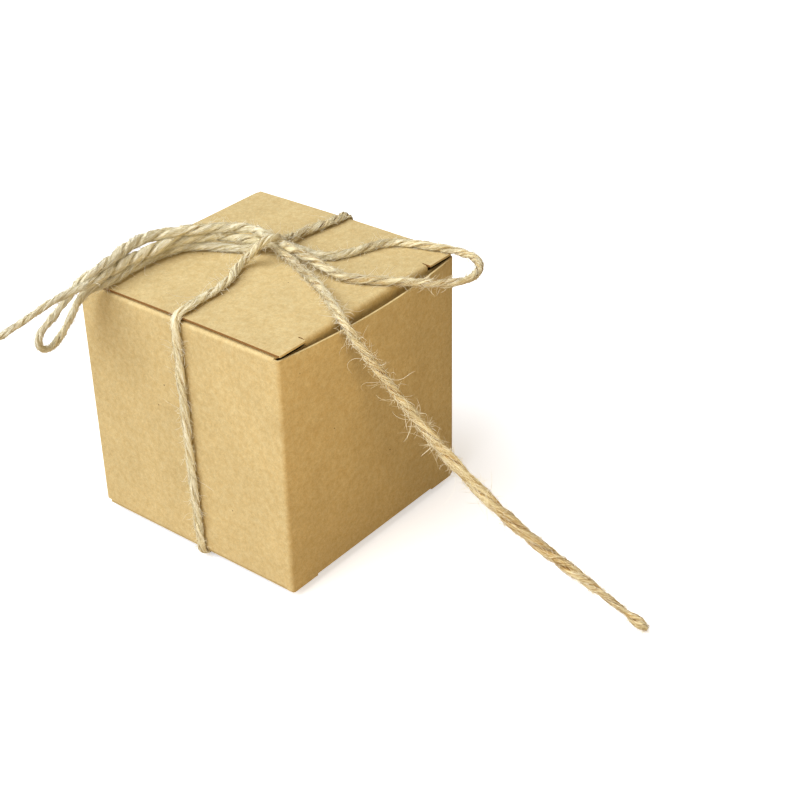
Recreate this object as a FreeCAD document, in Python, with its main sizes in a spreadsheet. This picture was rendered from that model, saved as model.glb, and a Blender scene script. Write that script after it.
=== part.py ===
"""Favor box: a folded kraft carton, 50 mm along each side, tied round once with jute twine in a bow.

The carton is one die-cut sheet, folded and glued. The twine is one length: a band round the carton, a knot
on the lid, two bow loops and two tails. Millimetres; +Z up; the lid's hinge is at +Y, the tuck front at -Y.
Origin: under the middle of the carton and its band, on the surface that the band stands on.
"""
import FreeCAD, Part
import math
import os
import re

import Sketcher
from FreeCAD import Vector

doc = FreeCAD.newDocument("favor_box")

# ---------------------------------------------------------------- driving dimensions

SIZES = [
    ("carton_width", 50, "outside, left wall to right wall"),
    ("carton_depth", 50, "outside, foot of the front wall to back wall"),
    ("carton_height", 50.4, "bottom panel to the lid's hinge, outside"),
    ("card_thickness", 0.4, "kraft board"),
    ("fold_radius", 0.8, "outside radius of the upright folds and the two hinges"),
    ("glue_lap", 12, "lap of the back wall glued inside the right wall"),
    ("front_bow", 2.0, "bulge of the front wall at the middle of its top edge"),
    ("front_edge_drop", 0.6, "from the hinge's level down to the front wall's raw top edge"),
    ("lid_front_rise", 0.35, "how much higher the lid stands at its front than at its hinge"),
    ("lid_crown", 0.22, "arch of the lid over the line from hinge to front edge"),
    ("panel_side_inset", 0.5, "from a side wall in to the edge of the lid and of the bottom panel"),
    ("panel_front_setback", 0.1, "from the front wall's foot in to a panel's raw front edge"),
    ("panel_corner_radius", 0.5, "round of the two front corners of the lid and bottom panel"),
    ("crease_radius", 0.8, "outside radius of the fold between a panel and its tuck flap"),
    ("slit_length", 7.1, "slit that frees each end of that fold from the panel"),
    ("slit_width", 0.3, "width of the cut"),
    ("slit_tick", 0.6, "how far the slit's inner end turns back into the panel"),
    ("tuck_length", 13, "tuck flap, below its fold"),
    ("tuck_gap", 0.1, "between the front wall's foot and a tuck flap"),
    ("tuck_side_inset", 1.0, "from a side wall in to the flap's edge"),
    ("tuck_shoulder_drop", 0.6, "from the fold down to the flap's shoulders"),
    ("tuck_corner_radius", 5, "round of the tuck flap's free corners"),
    ("dust_flap_length", 20, "side flap, from its fold to its free edge"),
    ("dust_flap_radius", 0.6, "outside radius of the dust flaps' folds"),
    ("dust_flap_gap", 0.1, "between a dust flap and the panel that covers it"),
    ("dust_flap_side_inset", 1.4, "from the front and back walls in to a dust flap's root"),
    ("dust_flap_shoulder", 8, "straight part of the flap's sides, before they taper"),
    ("dust_flap_back_taper", 6, "how much the free edge is cut back on the hinge side"),
    ("dust_flap_front_taper", 2, "how much it is cut back on the tuck side"),
    ("wall_lap", 2, "how far a fold's own strip runs down the wall that it grows from"),
    ("twine_diameter", 1.6, "free jute twine"),
    ("band_width", 2.6, "twine pressed flat against the carton, across"),
    ("band_thickness", 1.4, "twine pressed flat against the carton, through"),
    ("band_seat", 0.045, "room for the lid's slope under the band"),
    ("band_edge_radius", 0.5, "round of the band's outer edges"),
    ("band_left_y", -1.7, "where the band crosses the left wall"),
    ("band_right_y", 1.4, "where the band crosses the right wall"),
    ("knot_x", 4.3, "the knot, right of the lid's middle"),
    ("knot_y", 1.9, "the knot, behind the lid's middle"),
    ("knot_turn_diameter", 1.7, "the turn of twine that closes the knot over the bow"),
    ("knot_turn_radius", 2.2, "radius of that turn, along the twine's middle"),
    ("knot_turn_height", 2.5, "middle of that turn, above the lid"),
    ("knot_turn_leg", 1.8, "length of its two legs, down to the band"),
    ("knot_stub", 1.1, "straight end of each strand where it leaves the knot"),
]

sheet = doc.addObject("Spreadsheet::Sheet", "Sizes")
for row, (alias, size, note) in enumerate(SIZES, start=1):
    sheet.set(f"A{row}", alias)
    sheet.set(f"B{row}", str(size))
    sheet.set(f"C{row}", note)
    sheet.setAlias(f"B{row}", alias)
doc.recompute()

ALIASES = {alias for alias, size, note in SIZES}


def bound(formula):
    """A formula in the sheet's own words, as an expression of the document."""
    return re.sub(r"[a-z_]+", lambda word: "Sizes." + word[0] if word[0] in ALIASES else word[0], formula)


def value(formula):
    return float(sheet.evalExpression(bound(formula)))


# ---------------------------------------------------------------- sketches and features

def arc_between(start, end, radius, turn):
    """Arc of less than half a circle; turn is 1 for a left-hand bend and -1 for a right-hand one."""
    chord = end - start
    to_centre = math.sqrt(max(radius ** 2 - chord.Length ** 2 / 4, 0))
    left = Vector(-chord.y, chord.x, 0).normalize()
    centre = (start + end) / 2 + left * (turn * to_centre)
    first, last = (start, end) if turn > 0 else (end, start)
    angle_first = math.atan2(first.y - centre.y, first.x - centre.x)
    angle_last = math.atan2(last.y - centre.y, last.x - centre.x)
    if angle_last < angle_first:
        angle_last += 2 * math.pi
    return Part.ArcOfCircle(Part.Circle(centre, Vector(0, 0, 1), radius), angle_first, angle_last)


def add_outline(sketch, outline):
    """Closed outline. A corner is (u, v), or (u, v, radius, turn) if an arc leads on from it."""
    corners = [Vector(value(corner[0]), value(corner[1]), 0) for corner in outline]
    edges = []
    for index, corner in enumerate(outline):
        start, end = corners[index], corners[(index + 1) % len(corners)]
        if len(corner) == 2:
            edges.append((sketch.addGeometry(Part.LineSegment(start, end)), 1, 2))
            continue
        radius, turn = corner[2:]
        edge = sketch.addGeometry(arc_between(start, end, value(radius), turn))
        edges.append((edge, 1, 2) if turn > 0 else (edge, 2, 1))
        bind(sketch, Sketcher.Constraint("Radius", edge, value(radius)), radius)
    for index, (edge, first, last) in enumerate(edges):
        following, following_first, _ = edges[(index + 1) % len(edges)]
        sketch.addConstraint(Sketcher.Constraint("Coincident", edge, last, following, following_first))
        u, v = outline[index][:2]
        bind(sketch, Sketcher.Constraint("DistanceX", edge, first, value(u)), u)
        bind(sketch, Sketcher.Constraint("DistanceY", edge, first, value(v)), v)


def bind(sketch, constraint, formula):
    index = sketch.addConstraint(constraint)
    sketch.setExpression(f"Constraints[{index}]", bound(formula))


def add_sketch(body, name, plane, outlines, offset="0"):
    """Sketch on one of the body's origin planes, moved by offset along that plane's normal."""
    sketch = body.newObject("Sketcher::SketchObject", name)
    sketch.AttachmentSupport = [(next(f for f in body.Origin.OriginFeatures if f.Role == plane), "")]
    sketch.MapMode = "FlatFace"
    sketch.setExpression("AttachmentOffset.Base.z", bound(offset))
    for outline in outlines:
        add_outline(sketch, outline)
    doc.recompute()
    return sketch


def pad(body, name, plane, outlines, length, offset="0", both_ways=False):
    """Pad of a sketch, along its normal or evenly to both sides of it."""
    feature = body.newObject("PartDesign::Pad", name)
    feature.Profile = add_sketch(body, name + "_outline", plane, outlines, offset)
    feature.SideType = "Symmetric" if both_ways else "One side"
    feature.setExpression("Length", bound(length))
    doc.recompute()
    body.Tip = feature
    return feature


def pocket(body, name, plane, outlines, length, offset, upward):
    """Pocket of a sketch that must take something away."""
    before = body.Shape.Volume
    feature = body.newObject("PartDesign::Pocket", name)
    feature.Profile = add_sketch(body, name + "_outline", plane, outlines, offset)
    feature.Reversed = upward
    feature.setExpression("Length", bound(length))
    doc.recompute()
    body.Tip = feature
    if not body.Shape.Volume < before:
        raise RuntimeError(f"{name} cuts nothing")
    return feature


def stand_on_band(item):
    """The carton's own frame has its foot at z = 0; the band under it lifts everything by its thickness."""
    item.setExpression("Placement.Base.y", bound("front_bow / 2"))
    item.setExpression("Placement.Base.z", bound("band_thickness"))


# ---------------------------------------------------------------- carton: one folded, glued sheet

carton = doc.addObject("PartDesign::Body", "carton")
carton.Label = "carton"

flap_level = "(card_thickness + dust_flap_gap)"
wall_foot = f"({flap_level} + dust_flap_radius)"
wall_top = f"(carton_height - {wall_foot})"
left, right = "-carton_width / 2", "carton_width / 2"
front, back = "-carton_depth / 2", "carton_depth / 2"
inner_fold = "fold_radius - card_thickness"

# Left, back and right walls with their upright folds, and the glue lap inside the right wall.
pad(carton, "walls", "XY_Plane", [[
    (f"{left} + fold_radius", front, "fold_radius", -1),
    (left, f"{front} + fold_radius"),
    (left, f"{back} - fold_radius", "fold_radius", -1),
    (f"{left} + fold_radius", back),
    (f"{right} - card_thickness - fold_radius", back, "fold_radius", -1),
    (f"{right} - card_thickness", f"{back} - fold_radius"),
    (right, f"{back} - fold_radius"),
    (right, f"{front} + fold_radius", "fold_radius", -1),
    (f"{right} - fold_radius", front),
    (f"{right} - fold_radius", f"{front} + card_thickness", inner_fold, 1),
    (f"{right} - card_thickness", f"{front} + fold_radius"),
    (f"{right} - card_thickness", f"{back} - glue_lap"),
    (f"{right} - 2 * card_thickness", f"{back} - glue_lap"),
    (f"{right} - 2 * card_thickness", f"{back} - fold_radius", inner_fold, 1),
    (f"{right} - card_thickness - fold_radius", f"{back} - card_thickness"),
    (f"{left} + fold_radius", f"{back} - card_thickness", inner_fold, 1),
    (f"{left} + card_thickness", f"{back} - fold_radius"),
    (f"{left} + card_thickness", f"{front} + fold_radius", inner_fold, 1),
    (f"{left} + fold_radius", f"{front} + card_thickness"),
]], f"{wall_top} - {wall_foot}", offset=wall_foot)

# Front wall: straight along its foot, bowed outwards along its raw top edge.
bow_half_width = "(carton_width / 2 - fold_radius)"
bow_radius = f"({bow_half_width}^2 + front_bow^2) / (2 * front_bow)"
front_foot = add_sketch(carton, "front_wall_foot", "XY_Plane", [[
    (f"-{bow_half_width}", front),
    (bow_half_width, front),
    (bow_half_width, f"{front} + card_thickness"),
    (f"-{bow_half_width}", f"{front} + card_thickness"),
]], offset=flap_level)
front_top = add_sketch(carton, "front_wall_top", "XY_Plane", [[
    (f"-{bow_half_width}", front, bow_radius, 1),
    (bow_half_width, front),
    (bow_half_width, f"{front} + card_thickness", bow_radius, -1),
    (f"-{bow_half_width}", f"{front} + card_thickness"),
]], offset="carton_height - front_edge_drop")
front_wall = carton.newObject("PartDesign::AdditiveLoft", "front_wall")
front_wall.Profile = front_foot
front_wall.Sections = [front_top]
front_wall.Ruled = True
doc.recompute()
carton.Tip = front_wall

# The two upright folds beside it reach as far up and down as it does, past the roots of the dust flaps.
pad(carton, "front_folds", "XY_Plane", [[
    (f"{left} + fold_radius", front, "fold_radius", -1),
    (left, f"{front} + fold_radius"),
    (left, f"{front} + dust_flap_side_inset"),
    (f"{left} + card_thickness", f"{front} + dust_flap_side_inset"),
    (f"{left} + card_thickness", f"{front} + fold_radius", inner_fold, 1),
    (f"{left} + fold_radius", f"{front} + card_thickness"),
], [
    (right, f"{front} + fold_radius", "fold_radius", -1),
    (f"{right} - fold_radius", front),
    (f"{right} - fold_radius", f"{front} + card_thickness", inner_fold, 1),
    (f"{right} - card_thickness", f"{front} + fold_radius"),
    (f"{right} - card_thickness", f"{front} + dust_flap_side_inset"),
    (right, f"{front} + dust_flap_side_inset"),
]], f"carton_height - front_edge_drop - {flap_level}", offset=flap_level)

crease_half_width = "(carton_width / 2 - panel_side_inset - slit_length)"
tuck_face = "(carton_depth / 2 - card_thickness - tuck_gap)"
crease_line = f"-({tuck_face} - crease_radius)"
raw_edge = "-(carton_depth / 2 - panel_front_setback)"
hinge_line = "(carton_depth / 2 - fold_radius)"
lid_span = f"({hinge_line} + carton_depth / 2 - panel_front_setback)"
lid_arch_radius = f"(({lid_span}^2 + lid_front_rise^2) / 4 + lid_crown^2) / (2 * lid_crown)"


def add_closure(name, face, rise, way):
    """Panel hinged on the back wall, its tuck flap and slits, and the two dust flaps under it.

    face is the height of the panel's outer side at its hinge, rise how far it stands off at its front edge,
    and way is 1 for the lid and -1 for the bottom panel, which is flat.
    """
    inner = f"{face} - {way} * card_thickness"
    front_face = f"{face} + {way} * {rise}"
    front_inner = f"{front_face} - {way} * card_thickness"

    pad(carton, name + "_hinge", "YZ_Plane", [[
        (back, f"{face} - {way} * (fold_radius + wall_lap)"),
        (back, f"{face} - {way} * fold_radius", "fold_radius", way),
        (hinge_line, face),
        (hinge_line, inner, inner_fold, -way),
        (f"{back} - card_thickness", f"{face} - {way} * fold_radius"),
        (f"{back} - card_thickness", f"{face} - {way} * (fold_radius + wall_lap)"),
    ]], "2 * (carton_width / 2 - card_thickness - fold_radius)", both_ways=True)

    arch_out = (lid_arch_radius, 1) if way > 0 else ()
    arch_back = (lid_arch_radius, -1) if way > 0 else ()
    panel = pad(carton, name + "_panel", "YZ_Plane", [[
        (hinge_line, face, *arch_out),
        (raw_edge, front_face),
        (raw_edge, front_inner, *arch_back),
        (hinge_line, inner),
    ]], "2 * (carton_width / 2 - panel_side_inset)", both_ways=True)
    round_front_corners(panel, name + "_corners")

    clear = f"{face} - {way} * {flap_level} + {way} * dust_flap_gap / 2"
    tick_end = f"{crease_line} + slit_tick"
    outside = "-carton_depth / 2 - fold_radius"
    pocket(carton, name + "_slits", "XY_Plane", [[
        (f"-({crease_half_width} + slit_width)", outside),
        (f"{crease_half_width} + slit_width", outside),
        (f"{crease_half_width} + slit_width", tick_end),
        (crease_half_width, tick_end),
        (crease_half_width, crease_line),
        (f"-{crease_half_width}", crease_line),
        (f"-{crease_half_width}", tick_end),
        (f"-({crease_half_width} + slit_width)", tick_end),
    ]], "card_thickness + dust_flap_gap + lid_front_rise + lid_crown", offset=clear, upward=way > 0)

    inner_crease = "crease_radius - card_thickness"
    shoulder = f"{front_face} - {way} * (crease_radius + tuck_shoulder_drop)"
    pad(carton, name + "_crease", "YZ_Plane", [[
        (crease_line, front_face, "crease_radius", way),
        (f"-{tuck_face}", f"{front_face} - {way} * crease_radius"),
        (f"-{tuck_face}", f"{shoulder} - {way} * wall_lap"),
        (f"-{tuck_face} + card_thickness", f"{shoulder} - {way} * wall_lap"),
        (f"-{tuck_face} + card_thickness", f"{front_face} - {way} * crease_radius", inner_crease, -way),
        (crease_line, front_inner),
    ]], f"2 * {crease_half_width}", both_ways=True)

    tuck_half_width = "(carton_width / 2 - tuck_side_inset)"
    tuck_end = f"{front_face} - {way} * (crease_radius + tuck_length)"
    corner = f"{tuck_end} + {way} * tuck_corner_radius"
    pad(carton, name + "_tuck_flap", "XZ_Plane", [[
        (f"-{tuck_half_width}", shoulder),
        (f"-{tuck_half_width}", corner, "tuck_corner_radius", way),
        (f"-{tuck_half_width} + tuck_corner_radius", tuck_end),
        (f"{tuck_half_width} - tuck_corner_radius", tuck_end, "tuck_corner_radius", way),
        (tuck_half_width, corner),
        (tuck_half_width, shoulder),
    ]], "card_thickness", offset=f"{tuck_face} - card_thickness")

    flap_face = f"{face} - {way} * {flap_level}"
    flap_inner = f"{flap_face} - {way} * card_thickness"
    flap_root = "(carton_width / 2 - dust_flap_radius)"
    fold_start = f"{flap_face} - {way} * dust_flap_radius"
    flap_fold = pad(carton, name + "_dust_flap_fold", "XZ_Plane", [[
        (right, f"{fold_start} - {way} * wall_lap"),
        (right, fold_start, "dust_flap_radius", way),
        (flap_root, flap_face),
        (flap_root, flap_inner, "dust_flap_radius - card_thickness", -way),
        (f"{right} - card_thickness", fold_start),
        (f"{right} - card_thickness", f"{fold_start} - {way} * wall_lap"),
    ]], "2 * (carton_depth / 2 - dust_flap_side_inset)", both_ways=True)

    flap_side = "(carton_depth / 2 - dust_flap_side_inset)"
    flap = pad(carton, name + "_dust_flap", "XY_Plane", [[
        (flap_root, f"-{flap_side}"),
        (flap_root, flap_side),
        (f"{flap_root} - dust_flap_shoulder", flap_side),
        (f"{right} - dust_flap_length", f"{flap_side} - dust_flap_back_taper"),
        (f"{right} - dust_flap_length", f"-{flap_side} + dust_flap_front_taper"),
        (f"{flap_root} - dust_flap_shoulder", f"-{flap_side}"),
    ]], "card_thickness", offset=flap_inner if way > 0 else flap_face)

    opposite = carton.newObject("PartDesign::Mirrored", name + "_dust_flap_opposite")
    opposite.Originals = [flap_fold, flap]
    opposite.MirrorPlane = (next(f for f in carton.Origin.OriginFeatures if f.Role == "YZ_Plane"), [""])
    doc.recompute()
    carton.Tip = opposite


def round_front_corners(panel, name):
    """Fillet of the two short upright edges at a panel's front corners."""
    corner_x = value("carton_width / 2 - panel_side_inset")
    corner_y = value(raw_edge)
    edges = []
    for index, edge in enumerate(panel.Shape.Edges, start=1):
        first, last = edge.Vertexes[0].Point, edge.Vertexes[-1].Point
        upright = abs(first.x - last.x) < 1e-4 and abs(first.y - last.y) < 1e-4
        at_corner = abs(abs(first.x) - corner_x) < 1e-4 and abs(first.y - corner_y) < 1e-4
        if upright and at_corner:
            edges.append(f"Edge{index}")
    fillet = carton.newObject("PartDesign::Fillet", name)
    fillet.Base = (panel, edges)
    fillet.setExpression("Radius", bound("panel_corner_radius"))
    doc.recompute()
    carton.Tip = fillet


add_closure("lid", "carton_height", "lid_front_rise", 1)
add_closure("bottom", "0", "0", -1)
stand_on_band(carton)

# ---------------------------------------------------------------- twine band round the carton

lid_top = "(carton_height + lid_front_rise / 2 + lid_crown)"


def rounded_loop(half_width, foot, top, radius):
    """Rounded rectangle about the Z axis, as an outline."""
    return [
        (f"{half_width} - {radius}", foot, radius, 1),
        (half_width, f"{foot} + {radius}"),
        (half_width, f"{top} - {radius}", radius, 1),
        (f"{half_width} - {radius}", top),
        (f"-{half_width} + {radius}", top, radius, 1),
        (f"-{half_width}", f"{top} - {radius}"),
        (f"-{half_width}", f"{foot} + {radius}", radius, 1),
        (f"-{half_width} + {radius}", foot),
    ]


band_loop = doc.addObject("PartDesign::Body", "band_loop")
pad(band_loop, "band_section", "XZ_Plane", [
    rounded_loop("(carton_width / 2 + band_thickness)", "-band_thickness",
                 f"({lid_top} + band_seat + band_thickness)", "(panel_side_inset + band_thickness)"),
    rounded_loop("carton_width / 2", "0", f"({lid_top} + band_seat)", "panel_side_inset"),
], "carton_depth", both_ways=True)
stand_on_band(band_loop)

# In plan the band is two straight strips that meet under the knot.
reach = "(carton_width / 2 + 2 * band_thickness)"
left_slope = "((knot_y - band_left_y) / (knot_x + carton_width / 2))"
right_slope = "((band_right_y - knot_y) / (carton_width / 2 - knot_x))"
left_end = f"knot_y - {left_slope} * (knot_x + {reach})"
right_end = f"knot_y + {right_slope} * ({reach} - knot_x)"
band_plan = doc.addObject("PartDesign::Body", "band_plan")
pad(band_plan, "band_strips", "XY_Plane", [[
    (f"-{reach}", f"{left_end} - band_width / 2"),
    ("knot_x", "knot_y - band_width / 2"),
    (reach, f"{right_end} - band_width / 2"),
    (reach, f"{right_end} + band_width / 2"),
    ("knot_x", "knot_y + band_width / 2"),
    (f"-{reach}", f"{left_end} + band_width / 2"),
]], "2 * (carton_height + carton_width)", both_ways=True)
stand_on_band(band_plan)

band = doc.addObject("Part::MultiCommon", "band")
band.Shapes = [band_loop, band_plan]
doc.recompute()


def outer_band_edges():
    """The long edges on the band's outer side: every edge that lies off the carton by its thickness."""
    half_width = value("carton_width / 2 + band_thickness / 2")
    foot = value("band_thickness / 2")
    top = value(f"{lid_top} + band_seat + 1.5 * band_thickness")
    chosen = []
    for index, edge in enumerate(band.Shape.Edges, start=1):
        middle = edge.valueAt((edge.FirstParameter + edge.LastParameter) / 2)
        along = edge.Vertexes[0].Point - edge.Vertexes[-1].Point
        outside = abs(middle.x) > half_width or middle.z < foot or middle.z > top
        if outside and max(abs(along.x), abs(along.z)) > 0.1:
            chosen.append(index)
    return chosen


twine_wrap = doc.addObject("Part::Fillet", "twine_wrap")
twine_wrap.Base = band
edge_radius = value("band_edge_radius")
twine_wrap.Edges = [(index, edge_radius, edge_radius) for index in outer_band_edges()]
twine_wrap.Label = "twine_wrap"
doc.recompute()

# ---------------------------------------------------------------- free twine: loops and tails
# Points are offsets from the knot's seat, which is on the lid under the knot.

ROUTES = {
    "bow_loop_left": [
        (-0.8, 1.5, 4.4), (-1.6, 5.5, 5.3), (-5.5, 9.0, 5.6), (-12.2, 11.9, 5.5), (-17.8, 18.4, 5.1),
        (-27.9, 16.6, 4.2), (-32.9, 16.6, 2.7), (-36.2, 17.9, 0.0), (-39.8, 19.0, -3.2),
        (-42.5, 20.0, -5.5), (-42.4, 20.0, -8.6), (-39.8, 19.8, -9.2), (-36.8, 20.1, -7.7),
        (-34.7, 19.8, -5.2), (-32.9, 19.1, -2.2), (-31.8, 17.3, 0.9), (-27.5, 16.2, 1.4),
        (-19.1, 16.5, 1.2), (-8.7, 14.8, 1.1), (-3.7, 8.8, 1.1), (-3.1, 4.1, 1.1),
    ],
    "bow_loop_right": [
        (-0.6, -2.4, 3.1), (-2.3, -6.9, 3.6), (-4.8, -14.2, 3.6), (-5.1, -22.0, 2.2), (2.2, -25.6, 1.5),
        (5.2, -32.5, 1.3), (10.4, -36.6, 1.2), (16.3, -36.3, 1.2), (20.0, -31.3, 1.2), (19.9, -21.0, 1.1),
        (11.2, -15.3, 1.1), (2.9, -12.3, 1.1), (0.7, -8.4, 1.2), (1.0, -4.9, 1.5),
    ],
    "tail_left": [
        (-0.6, 2.7, 2.5), (-3.2, 5.4, 3.2), (-5.9, 9.3, 3.3), (-9.6, 12.9, 3.3), (-16.7, 13.9, 3.3),
        (-24.1, 14.5, 3.4), (-31.1, 14.2, 3.4), (-36.0, 15.2, 2.9), (-40.7, 17.0, 1.7), (-47.8, 17.3, 0.2),
        (-54.2, 18.7, -1.6),
    ],
    "tail_right": [
        (-1.8, -4.2, 1.3), (-2.5, -8.7, 1.3), (-6.3, -16.2, 1.5), (-13.3, -26.0, 2.3), (-15.6, -31.4, -1.0),
        (-12.6, -38.9, -11.4), (-9.6, -48.9, -22.9), (-5.7, -60.9, -34.8), (-0.4, -72.9, -44.4),
        (2.2, -83.6, -51.2),
    ],
}
ARC_SHARE = 0.45


def seat():
    return Vector(value("knot_x"), value("knot_y"), value(lid_top))


def route_points(name):
    return [seat() + Vector(*offset) for offset in ROUTES[name]]


def route_wire(points):
    """Straight runs joined by tangent arcs; returns the wire and the radius of each arc."""
    edges, radii = [], []
    run_start = points[0]
    for before, corner, after in zip(points, points[1:], points[2:]):
        back_along = (before - corner).normalize()
        onward = (after - corner).normalize()
        half_turn = (math.pi - back_along.getAngle(onward)) / 2
        tangent_length = ARC_SHARE * min((before - corner).Length, (after - corner).Length)
        radius = tangent_length / math.tan(half_turn)
        arc_start = corner + back_along * tangent_length
        arc_end = corner + onward * tangent_length
        inward = (back_along + onward).normalize()
        arc_middle = corner + inward * (radius / math.cos(half_turn) - radius)
        edges.append(Part.LineSegment(run_start, arc_start).toShape())
        edges.append(Part.Arc(arc_start, arc_middle, arc_end).toShape())
        radii.append(radius)
        run_start = arc_end
    edges.append(Part.LineSegment(run_start, points[-1]).toShape())
    return Part.Wire(edges), radii


def disc_wire(centre, direction, diameter):
    return Part.Wire(Part.Circle(centre, direction, diameter / 2).toShape())


def add_cord(name):
    points = route_points(name)
    wire, radii = route_wire(points)
    diameter = value("twine_diameter")
    section = disc_wire(points[0], points[1] - points[0], diameter)
    cord = doc.addObject("Part::Feature", name)
    cord.Label = name
    cord.Shape = wire.makePipeShell([section], True, True)
    stand_on_band(cord)
    expected = math.pi * diameter ** 2 / 4 * wire.Length
    runs = [(b - a).Length for a, b in zip(points, points[1:])]
    print(f"{name}: length {wire.Length:.1f}, runs {min(runs):.1f} to {max(runs):.1f}, "
          f"arc radii {' '.join(f'{radius:.1f}' for radius in radii)}")
    print(f"    volume {cord.Shape.Volume:.1f}, section times length {expected:.1f}")
    if abs(cord.Shape.Volume / expected - 1) > 0.02:
        raise RuntimeError(f"{name}: the tube's volume is wrong")
    return cord


cords = [add_cord(name) for name in ROUTES]

# ---------------------------------------------------------------- knot
# Three strands of the bow run through it, and one turn of twine closes it over them.

THROUGH = [
    ("bow_loop_left", 0, "bow_loop_right", 0),
    ("tail_left", 0, "bow_loop_right", -1),
    ("bow_loop_left", -1, "tail_right", 0),
]


def knot_end(name, end):
    """The exit of a route, and the point inside the knot that its straight stub starts from."""
    points = route_points(name)
    exit_point, next_point = (points[0], points[1]) if end == 0 else (points[-1], points[-2])
    outward = (next_point - exit_point).normalize()
    return exit_point, exit_point - outward * value("knot_stub")


def rod(start, end, diameter):
    along = end - start
    return Part.makeCylinder(diameter / 2, along.Length, start, along)


def through_strand(left_name, left_end, right_name, right_end):
    """Stub, straight strand and stub, with a ball at each bend."""
    diameter = value("twine_diameter")
    left_exit, left_root = knot_end(left_name, left_end)
    right_exit, right_root = knot_end(right_name, right_end)
    pieces = [rod(left_root, left_exit, diameter), rod(right_root, right_exit, diameter)]
    pieces.append(rod(left_root, right_root, diameter))
    pieces += [Part.makeSphere(diameter / 2, point) for point in (left_root, right_root)]
    return pieces


def closing_turn():
    """Half ring across the bow with two legs, standing on the band."""
    radius = value("knot_turn_radius")
    thickness = value("knot_turn_diameter")
    centre = seat() + Vector(0, 0, value("knot_turn_height"))
    across = Vector(1, 0, 0)
    feet = [centre + across * (side * radius) - Vector(0, 0, value("knot_turn_leg")) for side in (-1, 1)]
    shoulders = [centre + across * (side * radius) for side in (-1, 1)]
    arch = Part.Arc(shoulders[0], centre + Vector(0, 0, radius), shoulders[1])
    path = Part.Wire([
        Part.LineSegment(feet[0], shoulders[0]).toShape(),
        arch.toShape(),
        Part.LineSegment(shoulders[1], feet[1]).toShape(),
    ])
    return path.makePipeShell([disc_wire(feet[0], Vector(0, 0, 1), thickness)], True, True)


knot_strands = doc.addObject("Part::Feature", "knot_strands")
strands = [piece for names in THROUGH for piece in through_strand(*names)]
knot_strands.Shape = closing_turn().fuse(strands).removeSplitter()
stand_on_band(knot_strands)

twine_knot = doc.addObject("Part::Cut", "twine_knot")
twine_knot.Base = knot_strands
twine_knot.Tool = twine_wrap
twine_knot.Label = "twine_knot"
doc.recompute()

# ---------------------------------------------------------------- checks and export

sub_parts = [carton, twine_wrap, twine_knot] + cords

for item in doc.Objects:
    if "Invalid" in item.State or "Error" in item.State:
        raise RuntimeError(f"{item.Name} failed: {item.State}")

os.makedirs("parts", exist_ok=True)
for item in sub_parts:
    if item.Shape.isNull() or not item.Shape.isValid():
        raise RuntimeError(f"{item.Label} is not a valid shape")
    if len(item.Shape.Solids) != 1:
        raise RuntimeError(f"{item.Label} has {len(item.Shape.Solids)} solids")
    box = item.Shape.BoundBox
    print(f"{item.Label}: x {box.XMin:.2f} to {box.XMax:.2f}, y {box.YMin:.2f} to {box.YMax:.2f}, "
          f"z {box.ZMin:.2f} to {box.ZMax:.2f}, volume {item.Shape.Volume:.1f}")
    item.Shape.exportStep(f"parts/{item.Label}.step")
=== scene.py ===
"""Favor box: a folded kraft carton tied once with jute twine in a bow, standing on a pale floor."""

import math

import bpy
import numpy as np
from mathutils import Matrix, Vector


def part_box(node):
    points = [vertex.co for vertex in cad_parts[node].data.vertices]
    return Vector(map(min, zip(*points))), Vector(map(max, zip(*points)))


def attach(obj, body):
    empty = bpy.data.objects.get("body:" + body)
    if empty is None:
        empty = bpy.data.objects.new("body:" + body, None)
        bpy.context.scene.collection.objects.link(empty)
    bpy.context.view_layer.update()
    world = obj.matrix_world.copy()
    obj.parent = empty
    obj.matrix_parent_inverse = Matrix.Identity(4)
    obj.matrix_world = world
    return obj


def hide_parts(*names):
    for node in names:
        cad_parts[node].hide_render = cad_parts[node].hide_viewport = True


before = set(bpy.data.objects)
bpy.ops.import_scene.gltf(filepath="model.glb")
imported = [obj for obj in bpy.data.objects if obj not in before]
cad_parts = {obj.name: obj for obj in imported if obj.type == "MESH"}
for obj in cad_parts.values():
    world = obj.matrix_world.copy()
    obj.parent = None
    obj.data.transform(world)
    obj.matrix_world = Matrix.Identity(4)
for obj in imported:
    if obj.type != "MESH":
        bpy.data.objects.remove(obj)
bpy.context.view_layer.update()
scene = bpy.context.scene
MM = 0.001

# ---------------------------------------------------------------- camera
# A short telephoto lens a little above the lid, looking at the corner between the left and front walls.
# It stands 0.33 m from the box, which gives the walls their strong convergence.

LENS = 72.0
AZIMUTH, ELEVATION, ROLL = -51.29, 31.56, -1.03
STAND = Vector((-194.9, -186.45, 187.2)) * MM

camera_data = bpy.data.cameras.new("camera")
camera_data.lens = LENS
camera_data.sensor_width = 36.0
camera_data.clip_start = 0.01
camera = bpy.data.objects.new("camera", camera_data)
turn = Matrix.Rotation(math.radians(AZIMUTH), 4, "Z")
tilt = Matrix.Rotation(math.radians(90 - ELEVATION), 4, "X")
roll = Matrix.Rotation(math.radians(ROLL), 4, "Z")
camera.matrix_world = Matrix.Translation(STAND) @ turn @ tilt @ roll
scene.collection.objects.link(camera)
scene.camera = camera

# ---------------------------------------------------------------- bow: two loops and two tails
# One length of two-ply jute twine, about 1.6 mm thick, spun from coarse bast fibres with a left-hand twist
# and tied in a bow. The loops lie limply over the lid and its edges, and both tails are cut ends.

SEAT = Vector((4.3, 2.9, 52.195))    # the spot on the lid under the knot, mm
TWINE = 1.6                          # thickness, mm

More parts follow.
